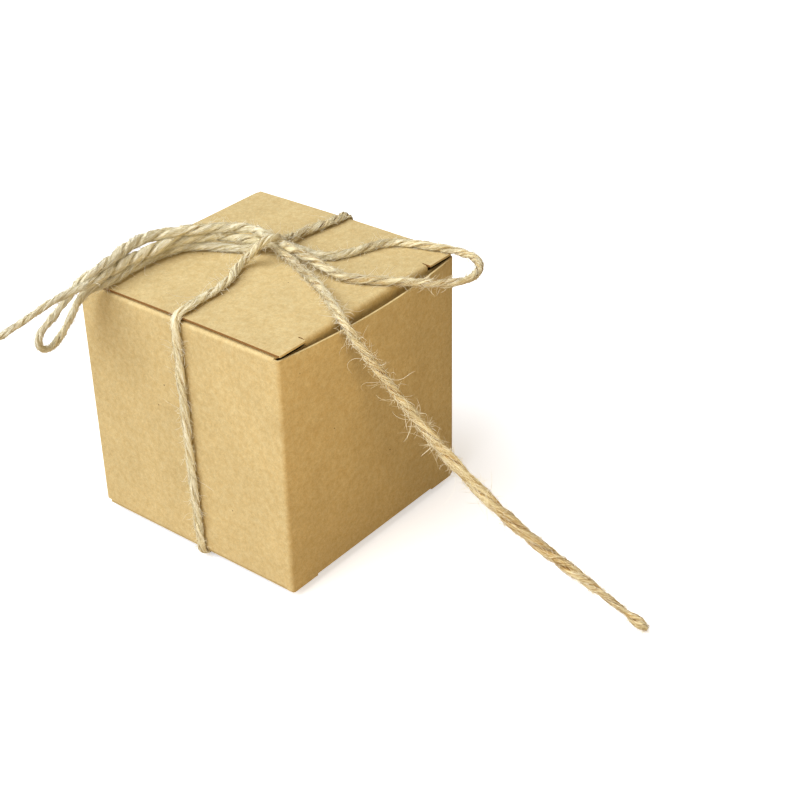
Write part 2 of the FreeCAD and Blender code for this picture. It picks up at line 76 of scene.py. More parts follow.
# Each route lists offsets from the seat, in millimetres.
ROUTES = {
    "bow_loop_left": [
        (-0.7, 1.8, 3.8), (-0.8, 5.2, 4.3), (-3.6, 9.4, 4.2), (-10.2, 15.2, 4.3), (-17.4, 19.3, 4.2),
        (-28.2, 16.1, 4.0), (-34.0, 16.5, 3.4), (-35.3, 17.9, 0.6), (-39.8, 19.0, -3.2), (-42.5, 20.0, -5.5),
        (-42.4, 20.0, -8.6), (-39.8, 19.8, -9.2), (-36.8, 20.1, -7.7), (-34.7, 19.8, -5.2),
        (-32.9, 19.1, -2.2), (-32.3, 16.6, 0.7), (-28.4, 15.3, 1.0), (-19.5, 16.6, 0.9), (-9.6, 15.6, 0.8),
        (-5.2, 9.0, 0.8), (-2.9, 3.8, 0.8),
    ],
    "bow_loop_right": [
        (-0.5, -2.1, 2.9), (-0.9, -6.2, 2.7), (-1.5, -11.6, 2.3), (-1.8, -16.7, 1.3), (-0.5, -20.8, 1.0),
        (1.9, -24.4, 0.9), (4.7, -29.1, 0.9), (7.4, -34.2, 0.9), (11.8, -37.3, 0.9), (16.4, -36.2, 0.9),
        (19.8, -32.8, 0.9), (19.9, -27.0, 0.8), (18.2, -20.6, 0.8), (15.2, -15.0, 0.8), (9.4, -13.0, 0.8),
        (5.0, -11.6, 0.8), (2.4, -8.2, 0.9), (2.1, -4.4, 1.1),
    ],
    "tail_left": [
        (-1.0, 2.6, 2.2), (-2.4, 5.3, 2.5), (-4.2, 10.6, 2.4), (-9.9, 15.3, 2.5), (-14.8, 16.3, 2.4),
        (-24.0, 16.8, 2.3), (-29.9, 15.8, 2.5), (-34.4, 15.4, 2.4), (-39.5, 17.0, 1.8), (-47.8, 17.3, 0.2),
        (-54.2, 18.7, -1.6),
    ],
    "tail_right": [
        (-0.7, -2.1, 1.7), (-3.0, -8.6, 0.9), (-6.4, -16.4, 1.1), (-13.2, -26.1, 2.2), (-15.2, -31.9, -1.0),
        (-12.2, -38.9, -11.4), (-9.6, -48.9, -22.9), (-5.7, -60.9, -34.8), (-0.4, -72.9, -44.4),
        (2.1, -84.0, -51.2),
    ],
}

# Along each strand, as (place in mm, value): lay is the length of one turn of a ply in mm, tone goes from
# brown to pale, and thickness is a share of TWINE. fibres is how many lie on each millimetre, and length is
# that of the cord in metres.
STRANDS = {
    "bow_loop_left": {
        "lay": [(0, 8.0), (14, 10.0), (28, 12.0), (40, 9.0), (75, 9.0), (90, 12.0)],
        "tone": [(0, 0.78), (18, 0.82), (26, 0.92), (58, 0.92), (70, 0.86), (108, 0.82)],
        "thickness": [
            (0, 1.1), (10, 1.25), (20, 1.4), (30, 1.4), (38, 1.05), (44, 0.8), (64, 0.82), (75, 1.0)],
        "fibres": 10.0, "far_end": "object", "length": 0.109,
    },
    "bow_loop_right": {
        "lay": [(0, 8.0), (30, 9.0), (60, 8.0)],
        "tone": [(0, 0.6), (30, 0.56), (50, 0.58), (65, 0.72), (88, 0.8)],
        "thickness": [(0, 1.1), (20, 1.0), (40, 0.95), (60, 1.0)],
        "fibres": 7.0, "far_end": "object", "length": 0.086,
    },
    "tail_left": {
        "lay": [(0, 9.0), (30, 11.0), (60, 9.0)],
        "tone": [(0, 0.72), (20, 0.84), (40, 0.9), (60, 0.9)],
        "thickness": [(0, 1.1), (9, 1.3), (16, 1.6), (33, 1.5), (40, 0.85), (47, 0.75), (62, 0.7)],
        "fibres": 6.0, "far_end": "bare", "length": 0.061,
    },
    "tail_right": {
        "lay": [(0, 8.0), (48, 8.5), (62, 16.0), (85, 14.0), (100, 9.0)],
        "tone": [
            (0, 0.55), (30, 0.52), (60, 0.56), (78, 0.52), (84, 0.34), (89, 0.38), (92, 0.75), (95, 0.46),
            (103, 0.4), (107, 0.7)],
        "thickness": [
            (0, 0.9), (22, 0.95), (34, 1.0), (50, 1.15), (62, 1.45), (88, 1.45), (93, 1.4), (98, 0.95),
            (103.8, 0.6), (105.2, 1.1), (106.4, 1.4), (107.3, 1.3), (108.0, 0.7)],
        "fibres": 9.0, "far_end": "bare", "length": 0.108,
    },
}


def spline_line(name, offsets):
    """The smooth line of a route, in millimetres, drawn as a NURBS spline."""
    curve = bpy.data.curves.new(name, "CURVE")
    curve.dimensions = "3D"
    spline = curve.splines.new("NURBS")
    spline.points.add(len(offsets) - 1)
    for point, offset in zip(spline.points, offsets):
        point.co = (*(SEAT + Vector(offset)), 1)
    spline.order_u = 3
    spline.use_endpoint_u = True
    spline.resolution_u = 24
    holder = bpy.data.objects.new(name, curve)
    scene.collection.objects.link(holder)
    bpy.context.view_layer.update()
    evaluated = holder.evaluated_get(bpy.context.evaluated_depsgraph_get())
    drawn = bpy.data.meshes.new_from_object(evaluated)
    line = np.array([vertex.co for vertex in drawn.vertices])
    bpy.data.objects.remove(holder)
    bpy.data.curves.remove(curve)
    bpy.data.meshes.remove(drawn)
    return line


# Each ply is a bundle of fibres: ridged along its length and pressed against the other ply.
RING_STEP = 0.3           # between the rings of a ply, mm
SPOKES = 40               # points round a ply
BUNDLES = 13              # fibre bundles that show round a ply
BUNDLE_LAY = 21           # length of one turn of a bundle round its ply, mm
BUNDLE_RELIEF = 0.13      # of a ply's radius: height of a bundle over the grooves beside it
PLY_OFFSET = 0.19         # of the twine's thickness: from its middle to a ply's middle
PLY_DEEP = 0.24           # of the twine's thickness: half of a ply, outwards
PLY_WIDE = 0.34           # of the twine's thickness: half of a ply, along the other ply's face
GRAIN_CORE = 0.1          # of the twine's thickness: radius at which the grain round a ply is measured
GRAIN_SHIFT = 9           # between the grain of the two plies, mm
BUNDLE_SHADE = 0.2        # how much the bundles differ in tone
# Painted shade: the grooves between the bundles are drawn browner, for the shade that falls in them.
PAINTED_GROOVE_SHADE = 0.24       # how much browner the grooves between them are
# Painted shade: a ply is drawn browner where the other ply covers it, for the shade in the crevice between
# them.
PAINTED_CREVICE_SHADE = 0.32      # how much browner a ply is where the other one covers it
PRESSED_DEEP = 0.3        # share of its depth that a pressed twine loses
PRESSED_WIDE = 0.25       # share of its width that it gains
FLOOR_GAP = 0.08          # least height of a loose fibre over the floor, mm
FIRST_NORMAL = (0.31, 0.17, 0.93)    # a direction that no strand starts along


def wander(places, spacing, rng, streams=1):
    """Smooth random values, about -1 to 1, along a strand; one column for each stream."""
    knots = np.arange(places[0] - 2 * spacing, places[-1] + 3 * spacing, spacing)
    heights = rng.uniform(-1, 1, (len(knots), streams))
    position = (places - knots[0]) / spacing
    index = position.astype(int)
    blend = (position - index)[:, None]
    blend = blend * blend * (3 - 2 * blend)
    values = heights[index] * (1 - blend) + heights[index + 1] * blend
    return values[:, 0] if streams == 1 else values


def unit(vectors):
    return vectors / np.linalg.norm(vectors, axis=-1, keepdims=True)


def lay_twine(line, seed, lay, tone, thickness=((0, 1), (1, 1)), pressed=((0, 0), (1, 0)), facing=None):
    """The middle line of a twine with its frame, twist and shape at even steps, in millimetres.

    lay (the length of one turn of a ply), tone, thickness and pressed are given at places along it. pressed
    flattens the twine along its normals and widens it. facing turns the normal halfway along to a direction.
    """
    rng = np.random.default_rng(seed)
    along = np.concatenate([[0], np.cumsum(np.linalg.norm(np.diff(line, axis=0), axis=1))])
    places = np.linspace(0, along[-1], max(int(round(along[-1] / RING_STEP)), 4) + 1)
    middle = np.stack([np.interp(places, along, line[:, axis]) for axis in range(3)], axis=1)
    tangents = unit(np.gradient(middle, axis=0))
    normals = np.zeros_like(middle)
    normal = np.array(FIRST_NORMAL)
    for index, tangent in enumerate(tangents):
        normal = normal - tangent * normal.dot(tangent)
        normal /= np.linalg.norm(normal)
        normals[index] = normal
    sides = np.cross(tangents, normals)
    if facing is not None:
        halfway = len(places) // 2
        turn = math.atan2(np.dot(facing, sides[halfway]), np.dot(facing, normals[halfway]))
        normals = normals * math.cos(turn) + sides * math.sin(turn)
        sides = np.cross(tangents, normals)
    turns = np.cumsum(RING_STEP / np.interp(places, *zip(*lay)))
    twist = -2 * math.pi * turns + 0.6 * wander(places, 7, rng) + rng.uniform(0, 2 * math.pi)
    squeeze = np.interp(places, *zip(*pressed))
    return {"rng": rng, "places": places, "middle": middle, "tangents": tangents, "normals": normals,
            "sides": sides, "twist": twist, "tone": np.interp(places, *zip(*tone)),
            "thick": TWINE * np.interp(places, *zip(*thickness)),
            "deep": 1 - PRESSED_DEEP * squeeze, "broad": 1 + PRESSED_WIDE * squeeze}


def ply(twine, number):
    """One ply of a twine as a ridged tube.

    It is spun unevenly: each wander varies one measure, and its number is the millimetres between changes.
    """
    rng, places, thick = twine["rng"], twine["places"], twine["thick"]
    spokes = np.arange(SPOKES) * 2 * math.pi / SPOKES
    offset = thick * (PLY_OFFSET + 0.03 * wander(places, 4.5, rng))
    deep = thick * PLY_DEEP * (1 + 0.12 * wander(places, 3.5, rng))
    wide = thick * PLY_WIDE * (1 + 0.13 * wander(places, 5.0, rng))
    roll = 2 * math.pi * places / BUNDLE_LAY + 0.3 * wander(places, 6, rng)
    bundle = (spokes[None, :] - roll[:, None]) * BUNDLES / (2 * math.pi)
    index = np.floor(bundle).astype(int) % BUNDLES
    hump = np.sin(math.pi * (bundle - np.floor(bundle))) ** 0.7
    rows = np.arange(len(places))[:, None]
    swell = wander(places, 5.0, rng, BUNDLES)[rows, index]
    shade = wander(places, 7.0, rng, BUNDLES)[rows, index]
    relief = 1 + (BUNDLE_RELIEF + 0.06 * swell) * (hump - 0.7) + 0.07 * swell
    out = offset[:, None] + deep[:, None] * np.cos(spokes) * relief
    across = wide[:, None] * np.sin(spokes) * relief
    turn = (twine["twist"] + number * math.pi)[:, None]
    up = (out * np.cos(turn) - across * np.sin(turn)) * twine["deep"][:, None]
    side = (out * np.sin(turn) + across * np.cos(turn)) * twine["broad"][:, None]
    rings = (twine["middle"][:, None, :] + twine["normals"][:, None, :] * up[:, :, None]
             + twine["sides"][:, None, :] * side[:, :, None])
    # Painted shade: the grooves between bundles and the covered side of the ply get lower tones, which the
    # ramp makes browner.
    painted_crevice_shade = np.clip(0.35 - np.cos(spokes), 0, 1) ** 1.5
    tone = twine["tone"][:, None] + BUNDLE_SHADE * shade - PAINTED_GROOVE_SHADE * (1 - hump) - PAINTED_CREVICE_SHADE * painted_crevice_shade
    grain = np.stack([np.broadcast_to(spokes * GRAIN_CORE * TWINE, tone.shape) + GRAIN_SHIFT * number,
                      np.broadcast_to(places[:, None], tone.shape), np.zeros(tone.shape)], axis=-1)
    return rings, tone, grain


def surface_reach(twine, rows, angle):
    """How far the twine's surface is from its middle, at an angle round it and at its given rows."""
    turn = angle - twine["twist"][rows]
    out, across = np.abs(np.cos(turn)), np.sin(turn)
    slope = out ** 2 / PLY_DEEP ** 2 + across ** 2 / PLY_WIDE ** 2
    pull = out * PLY_OFFSET / PLY_DEEP ** 2
    root = np.sqrt(pull ** 2 - slope * ((PLY_OFFSET / PLY_DEEP) ** 2 - 1))
    return twine["thick"][rows] * (pull + root) / slope


def off_surface(twine, rows, angle, lift):
    """Points at an angle round the twine, a given lift off its surface, and the direction outwards."""
    reach = surface_reach(twine, rows, angle) + lift
    out = (twine["normals"][rows] * (np.cos(angle) * twine["deep"][rows])[:, None]
           + twine["sides"][rows] * (np.sin(angle) * twine["broad"][rows])[:, None])
    return twine["middle"][rows] + out * reach[:, None], out


FIBRE_TAPER = 0.6                 # share of its radius that a single fibre loses towards its ends
FIBRE_GRAIN_RUN = 9               # length of the grain along it, mm


def thin_fibre(path, radius, tone):
    """One jute fibre as a three-sided tube that thins to its ends."""
    tangents = unit(np.gradient(path, axis=0))
    reference = np.eye(3)[np.argmin(np.abs(tangents.mean(0)))]
    first = unit(np.cross(tangents, reference))
    second = np.cross(tangents, first)
    share = np.linspace(0, 1, len(path))
    width = radius * (1 - FIBRE_TAPER * np.abs(2 * share - 1) ** 3)
    corners = np.arange(3) * 2 * math.pi / 3
    outwards = (first[:, None, :] * np.cos(corners)[None, :, None]
                + second[:, None, :] * np.sin(corners)[None, :, None])
    rings = path[:, None, :] + width[:, None, None] * outwards
    grain = np.zeros(rings.shape)
    grain[:, :, 1] = (share * FIBRE_GRAIN_RUN)[:, None]
    return rings, np.full(rings.shape[:2], tone), grain


LYING_LENGTH = (3, 10)            # of a fibre that lies on the twine, mm
LYING_RADIUS = (0.025, 0.065)     # its radius with what clings to it, mm
LYING_TONE = (-0.35, 0.35)        # how it differs from the twine's tone
LYING_STEP = 0.75                 # between the points along it, mm
LYING_SLANT = (0.05, 0.3)         # its turn across the lay, in radians for each mm: mean and spread
LYING_LIFT = (0, 0.16)            # of its middle off the twine, mm
END_LIFTS = [0, 0, 0.15, 0.4]     # of its end off the twine, mm, each as likely


def lying_fibres(twine, per_mm):
    """Fibres that lie on the plies, a little across their lay, with ends that lift off."""
    rng, places = twine["rng"], twine["places"]
    fibres = []
    for _ in range(int(per_mm * places[-1])):
        length = rng.uniform(*LYING_LENGTH)
        start = rng.uniform(-1, places[-1] - 2)
        stops = (start + np.arange(0, length, LYING_STEP)) / RING_STEP
        rows = np.unique(np.clip(stops.astype(int), 0, len(places) - 1))
        if len(rows) < 4:
            continue
        run = places[rows] - places[rows[0]]
        angle = twine["twist"][rows] + rng.uniform(0, 2 * math.pi) + rng.normal(*LYING_SLANT) * run
        share = run / run[-1]
        lift = rng.uniform(*LYING_LIFT) * np.sin(math.pi * share) + rng.choice(END_LIFTS) * share ** 4
        path, _ = off_surface(twine, rows, angle, lift)
        if path[:, 2].min() > FLOOR_GAP:
            tone = twine["tone"][rows[0]] + rng.uniform(*LYING_TONE)
            fibres.append(thin_fibre(path, rng.uniform(*LYING_RADIUS), tone))
    return fibres


def add_piece(name, tubes, material):
    """One mesh object from tubes, each with its rings, tone and grain, with closed ends."""
    vertices, faces, tones, grains, start = [], [], [], [], 0
    for rings, tone, grain in tubes:
        rows, round_count = rings.shape[:2]
        grid = start + np.arange(rows * round_count).reshape(rows, round_count)
        following = np.roll(grid, -1, axis=1)
        quads = np.stack([grid[:-1], following[:-1], following[1:], grid[1:]], axis=-1)
        faces += quads.reshape(-1, 4).tolist()
        faces += [grid[0][::-1].tolist(), grid[-1].tolist()]
        vertices.append(rings.reshape(-1, 3))
        tones.append(tone.ravel())
        grains.append(grain.reshape(-1, 3))
        start += rows * round_count
    mesh = bpy.data.meshes.new(name)
    mesh.from_pydata((np.concatenate(vertices) * MM).tolist(), [], faces)
    tone_layer = mesh.attributes.new("tone", "FLOAT", "POINT")
    tone_layer.data.foreach_set("value", np.concatenate(tones).astype("f"))
    grain_layer = mesh.attributes.new("grain", "FLOAT_VECTOR", "POINT")
    grain_layer.data.foreach_set("vector", np.concatenate(grains).astype("f").ravel())
    mesh.shade_smooth()
    mesh.materials.append(material)
    piece = bpy.data.objects.new(name, mesh)
    scene.collection.objects.link(piece)
    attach(piece, "root")
    return piece


def linear(hex_colour):
    """sRGB hex to linear, with full alpha."""
    channels = [int(hex_colour[start:start + 2], 16) / 255 for start in (1, 3, 5)]
    return [c / 12.92 if c <= 0.04045 else ((c + 0.055) / 1.055) ** 2.4 for c in channels] + [1.0]


def node(tree, kind, inputs=None, stops=None, **settings):
    """Adds a node, sets its properties, sets or links its inputs, and sets a colour ramp's stops."""
    added = tree.nodes.new(kind)
    for key, setting in settings.items():
        setattr(added, key, setting)
    for key, source in (inputs or {}).items():
        if isinstance(source, bpy.types.NodeSocket):
            tree.links.new(source, added.inputs[key])
        else:
            added.inputs[key].default_value = source
    for number, (position, colour) in enumerate(stops or []):
        elements = added.color_ramp.elements
        stop = elements[number] if number < len(elements) else elements.new(position)
        stop.position = position
        stop.color = linear(colour)
    return added


def new_material(name):
    material = bpy.data.materials.new(name)
    material.use_nodes = True
    material.node_tree.nodes.clear()
    return material, material.node_tree


# Natural jute, spun and not polished: straw-coloured bast fibres, matt, some pale and some brown. The tone
# of each fibre bundle is in the mesh, and holds painted shade as well: lower tones in the grooves between
# bundles and where one ply covers the other, which the ramp's brown end makes browner. A single fibre, about
# 0.05 mm wide, is too fine to show, so the streaks that run along the plies are drawn 0.1 to 0.4 mm wide. The
# faint sheen is that of the fibres' smooth sides.
STREAK_WIDTH, STREAK_LENGTH = 0.125, 2.0    # mm, the width as measured at the grain's core
STREAK_CONTRAST = 0.8
JUTE_TONES = [(0.0, "#7a5022"), (1.0, "#f8f4e0"), (0.3, "#bca066"), (0.55, "#e4dbb2"), (0.8, "#f2ebcf")]
jute_twine, tree = new_material("spun_natural_jute")
tone = node(tree, "ShaderNodeAttribute", attribute_name="tone").outputs["Fac"]
grain = node(tree, "ShaderNodeAttribute", attribute_name="grain").outputs["Vector"]
along_fibres = node(tree, "ShaderNodeMapping", {
    "Vector": grain, "Scale": (1 / STREAK_WIDTH, 1 / STREAK_LENGTH, 1.0)}).outputs["Vector"]
streaks = node(tree, "ShaderNodeTexNoise", {
    "Vector": along_fibres, "Scale": 1.0, "Detail": 3.0, "Roughness": 0.6}).outputs["Fac"]
spread = node(tree, "ShaderNodeMath", {0: streaks, 1: STREAK_CONTRAST, 2: -STREAK_CONTRAST / 2},
              operation="MULTIPLY_ADD").outputs["Value"]
mixed = node(tree, "ShaderNodeMath", {0: tone, 1: spread}, operation="ADD").outputs["Value"]
colour = node(tree, "ShaderNodeValToRGB", {"Fac": mixed}, JUTE_TONES).outputs["Color"]
bump = node(tree, "ShaderNodeBump", {
    "Height": streaks, "Strength": 0.8, "Distance": 0.06 * MM}).outputs["Normal"]
shader = node(tree, "ShaderNodeBsdfPrincipled", {
    "Base Color": colour, "Roughness": 0.75, "Sheen Weight": 0.1, "Normal": bump})
node(tree, "ShaderNodeOutputMaterial", {"Surface": shader.outputs["BSDF"]})

twines = {}
for seed, (name, strand) in enumerate(STRANDS.items(), start=11):
    line = spline_line(name + "_line", ROUTES[name])
    twine = lay_twine(line, seed, strand["lay"], strand["tone"], strand["thickness"])
    twines[name] = twine
    tubes = [ply(twine, 0), ply(twine, 1)] + lying_fibres(twine, strand["fibres"])
    piece = add_piece(name + "_twine", tubes, jute_twine)
    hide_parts(name)

# ---------------------------------------------------------------- twine band round the carton
# The same twine, pulled tight: out of the knot, over the lid, down the right wall, under the bottom, up the
# left wall and back, where it climbs over the bow's strands and closes them in. The board presses it flat.

wrap_high = np.array(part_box("twine_wrap")[1]) / MM
BAND = 1.4                            # thickness of the pressed twine, mm
HALF_WIDTH = 25.0                     # of the carton
WALL = HALF_WIDTH + BAND / 2          # from the carton's middle to the twine's middle on a side wall
BAND_FLOOR = BAND / 2                 # height of the twine's middle under the carton
BAND_LID = wrap_high[2] - BAND / 2    # and on the lid
BAND_CORNER = 1.2                     # how far before a corner the twine starts to turn


def from_seat(*place):
    return tuple(Vector(place) - SEAT)


BAND_ROUTE = [
    (-0.3, 1.5, 2.5), (0.6, 0.5, 2.6), (2.2, -0.2, 2.2), (4.5, 0.2, 1.5), (7.6, 0.5, 1.1),
    (13.0, -0.1, 0.9), (17.8, -0.8, 0.8),
    from_seat(WALL - BAND_CORNER, 2.3, BAND_LID), from_seat(WALL, 2.35, BAND_LID - BAND_CORNER),
    from_seat(WALL, 2.4, BAND_LID - 5), from_seat(WALL, 2.4, 27), from_seat(WALL, 2.4, 8),
    from_seat(WALL, 2.4, BAND_FLOOR + BAND_CORNER), from_seat(WALL - BAND_CORNER, 2.4, BAND_FLOOR),
    from_seat(WALL - 6, 2.35, BAND_FLOOR), from_seat(4.3, 2.5, BAND_FLOOR),
    from_seat(-WALL + 6, -0.55, BAND_FLOOR), from_seat(-WALL + BAND_CORNER, -1.15, BAND_FLOOR),
    from_seat(-WALL, -1.2, BAND_FLOOR + BAND_CORNER), from_seat(-WALL, -1.05, 8), from_seat(-WALL, -0.45, 27),
    from_seat(-WALL, -0.15, BAND_LID - 5), from_seat(-WALL, -0.05, BAND_LID - BAND_CORNER),
    from_seat(-WALL + BAND_CORNER, 0.05, BAND_LID),
    (-24.9, -2.8, 0.8), (-15.1, -2.0, 0.8), (-11.1, 0.0, 0.9), (-8.4, 0.9, 1.1),
    (-6.6, 0.6, 1.9), (-5.8, -0.2, 3.0), (-4.8, -0.8, 4.1), (-3.2, -1.2, 4.6),
    (-1.5, -1.5, 4.4), (0.1, -1.7, 3.6), (0.9, -1.4, 2.2),
]
band_line = spline_line("band_line", BAND_ROUTE)
band_length = np.linalg.norm(np.diff(band_line, axis=0), axis=1).sum()
band_lay = [
    (0, 8.0), (20, 8.0), (30, 14.0), (band_length - 32, 16.0), (band_length - 22, 10.0), (band_length, 8.0)]
band_tone = [
    (0, 0.6), (20, 0.6), (30, 0.72), (band_length - 22, 0.72), (band_length - 14, 0.6), (band_length, 0.75)]
band_pressed = [(9, 0), (16, 1), (band_length - 20, 1), (band_length - 14, 0)]
BAND_FIBRES = 6.0                     # on each millimetre
BAND_SEED = 31
band_twine = lay_twine(band_line, BAND_SEED, band_lay, band_tone, pressed=band_pressed, facing=(0, 0, -1))
twines["band"] = band_twine
band_tubes = [ply(band_twine, 0), ply(band_twine, 1)] + lying_fibres(band_twine, BAND_FIBRES)
band = add_piece("twine_band", band_tubes, jute_twine)
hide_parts("twine_wrap")

# ---------------------------------------------------------------- knot
# The bow's jute strands run on through the knot, between the band's two ends: each loop and tail goes in on
# one side and comes out on the other, pressed together by the band.

KNOT_LAY = [(0, 8.0), (1, 8.0)]
KNOT_TONE = [(0, 0.75), (1, 0.75)]
KNOT_FIBRES = 8.0                     # on each millimetre
KNOT_ROUTES = {
    "through_top": [
        (-0.75, 3.6, 4.05), (-0.7, 1.8, 3.8), (-0.5, 0.2, 3.5), (-0.4, -1.0, 3.1), (-0.5, -2.1, 2.9),
        (-1.0, -3.9, 2.95),
    ],
    "through_middle": [
        (-1.6, 3.8, 2.35), (-1.0, 2.6, 2.2), (0.1, 0.8, 2.0), (1.3, -1.6, 1.7), (2.0, -3.4, 1.3),
        (2.1, -4.4, 1.1), (2.2, -5.8, 1.05),
    ],
    "through_low": [
        (-3.7, 5.6, 0.8), (-2.9, 3.8, 0.8), (-1.8, 2.0, 2.0), (-0.8, 0.4, 2.6), (-0.4, -0.9, 2.2),
        (-0.7, -2.1, 1.7), (-1.2, -3.5, 1.5),
    ],
}
knot_tubes = []
for seed, (name, offsets) in enumerate(KNOT_ROUTES.items(), start=51):
    twine = lay_twine(spline_line(name, offsets), seed, KNOT_LAY, KNOT_TONE)
    twines[name] = twine
    knot_tubes += [ply(twine, 0), ply(twine, 1)] + lying_fibres(twine, KNOT_FIBRES)
knot = add_piece("bow_knot", knot_tubes, jute_twine)
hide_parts("twine_knot")

# ---------------------------------------------------------------- stray fibres
# Jute sheds short stiff hairs all along, and long ones where the twine was handled. They spring off its
# surface, bend over, and stay clear of the board and the floor.

CARTON_SIDE, CARTON_FRONT, CARTON_TOP = 25.15, 26.1, 52.35    # the board's faces with a little room, mm
UNDER_CARTON = 2                  # below this height, within the faces, the twine is under the carton
STRAY_ROOT = -0.1                 # where a fibre starts: under the twine's surface, mm
STRAY_STEP = 0.5                  # between the points along it, mm
STRAY_SCATTER = 0.15              # spread of its first heading
STRAY_WAVER = 0.25                # spread, at each step, of the axis that it bends round
STRAY_SAG = (0, 0, -0.015)        # how its heading drops at each step
STRAY_RADIUS = (0.018, 0.04)      # mm
STRAY_TONE = (0.6, 1.0)


def clear_of_carton(path):
    """Moves the points of a fibre that would be in the board or the floor out to the nearest face."""
    path = path.copy()
    gaps = np.stack([
        CARTON_SIDE - np.abs(path[:, 0]), CARTON_FRONT - np.abs(path[:, 1]), CARTON_TOP - path[:, 2]], axis=1)
    inside = (gaps > 0).all(axis=1)
    nearest = gaps.argmin(axis=1)
    for row in np.flatnonzero(inside):
        axis = nearest[row]
        path[row, axis] += gaps[row, axis] * (1 if axis == 2 else np.sign(path[row, axis]))
    path[:, 2] = np.maximum(path[:, 2], FLOOR_GAP)
    return path


def shed(name, place, length, rise, bend):
    """Adds one fibre that leaves a strand at a place: rise is its angle off it, bend its turn for each mm."""
    twine = twines[name]
    row = np.array([int(np.clip(place / RING_STEP, 1, len(twine["places"]) - 2))])
    angle = np.array([rng.uniform(0, 2 * math.pi)])
    root, out = off_surface(twine, row, angle, STRAY_ROOT)
    if root[0, 2] < UNDER_CARTON and abs(root[0, 0]) < CARTON_SIDE and abs(root[0, 1]) < CARTON_FRONT:
        return
    lead = twine["tangents"][row[0]] * rng.choice([-1, 1])
    heading = unit(math.cos(rise) * lead + math.sin(rise) * out[0] + rng.normal(0, STRAY_SCATTER, 3))
    axis = unit(rng.normal(0, 1, 3))
    steps = max(int(length / STRAY_STEP), 5)
    path = [root[0]]
    for _ in range(steps):
        path.append(path[-1] + heading * length / steps)
        heading = unit(heading + bend * np.cross(axis, heading) * length / steps + STRAY_SAG)
        axis = unit(axis + rng.normal(0, STRAY_WAVER, 3))
    path = clear_of_carton(np.array(path))
    strays[name].append(thin_fibre(path, rng.uniform(*STRAY_RADIUS), rng.uniform(*STRAY_TONE)))


FUZZ = {
    # strand: (short hairs per mm, long hairs per mm)
    "bow_loop_left": (12.0, 0.25), "bow_loop_right": (12.0, 0.3), "tail_left": (10.0, 0.15),
    "tail_right": (16.0, 0.5), "band": (9.0, 0.25), "through_top": (14.0, 1.0), "through_low": (14.0, 1.0),
}
HAIRS = [
    # ranges of length in mm, rise and bend: short hairs, then long ones
    ((0.6, 2.4), (0.1, 0.8), (0.2, 1.1)),
    ((3.5, 8.0), (0.2, 0.7), (0.1, 0.6)),
]
TUFTS = [
    # strand, place along it, spread, number, length, bend
    ("band", 129, 2.5, 34, 2.2, 0.9), ("band", 135, 2, 20, 2.5, 0.8), ("band", 144, 3, 24, 2.5, 0.6),
    ("band", 160, 2, 16, 3.5, 0.4), ("band", 169, 1.5, 30, 3.0, 0.6), ("band", 188, 1.5, 16, 2.5, 0.6),
    ("tail_right", 10, 5, 60, 3.0, 0.6), ("tail_right", 27, 1.5, 30, 2.5, 0.6),
    ("tail_right", 34, 3, 16, 4.0, 0.5), ("tail_right", 46, 2.5, 24, 4.0, 0.5),
    ("tail_right", 52, 1.2, 24, 4.5, 0.3), ("tail_right", 57, 1.5, 20, 3.0, 0.8),
    ("tail_right", 66, 2, 16, 3.5, 1.0), ("tail_right", 68, 2, 3, 8.0, 0.08),
    ("tail_right", 94, 3, 40, 3.0, 0.5), ("bow_loop_right", 26, 5, 30, 3.0, 0.5),
    ("bow_loop_left", 14, 4, 24, 3.5, 0.5), ("tail_left", 10, 5, 30, 3.0, 0.5),
    ("tail_left", 34, 3, 24, 2.0, 0.6), ("bow_loop_left", 90, 9, 50, 2.5, 0.6),
    ("band", band_length - 8, 3, 50, 2.2, 0.9), ("band", 6, 2, 20, 2.5, 0.9),
]
# A tuft's fibres vary: shares of its length and of its bend, and their angle off the strand.
TUFT_LENGTH, TUFT_BEND, TUFT_RISE = (0.5, 1.2), (0.4, 1.4), (0.3, 1.1)
HAIR_SEED = 7
rng = np.random.default_rng(HAIR_SEED)
strays = {name: [] for name in FUZZ}
for name, numbers in FUZZ.items():
    reach = twines[name]["places"][-1]
    for per_mm, (length, rise, bend) in zip(numbers, HAIRS):
        for _ in range(int(per_mm * reach)):
            shed(name, rng.uniform(0, reach), rng.uniform(*length), rng.uniform(*rise), rng.uniform(*bend))
for name, place, spread, number, length, bend in TUFTS:
    for _ in range(number):
        shed(name, place + rng.normal(0, spread), length * rng.uniform(*TUFT_LENGTH),
             rng.uniform(*TUFT_RISE), bend * rng.uniform(*TUFT_BEND))
add_piece("stray_fibres_of_bow", strays["bow_loop_left"] + strays["bow_loop_right"] + strays["through_top"]
          + strays["through_low"], jute_twine)
add_piece("stray_fibres_of_tails", strays["tail_left"] + strays["tail_right"], jute_twine)
add_piece("stray_fibres_of_band", strays["band"], jute_twine)

# ---------------------------------------------------------------- carton
# One sheet of unbleached kraft board, 0.4 mm thick, die-cut, folded and glued along a lap. Its face is matt,
# faintly mottled by the pulp, with a few dark specks of bark. A pulp fibre, about 0.03 mm wide, is too fine
# to show, so the fibres are drawn as a grain of 0.35 mm.

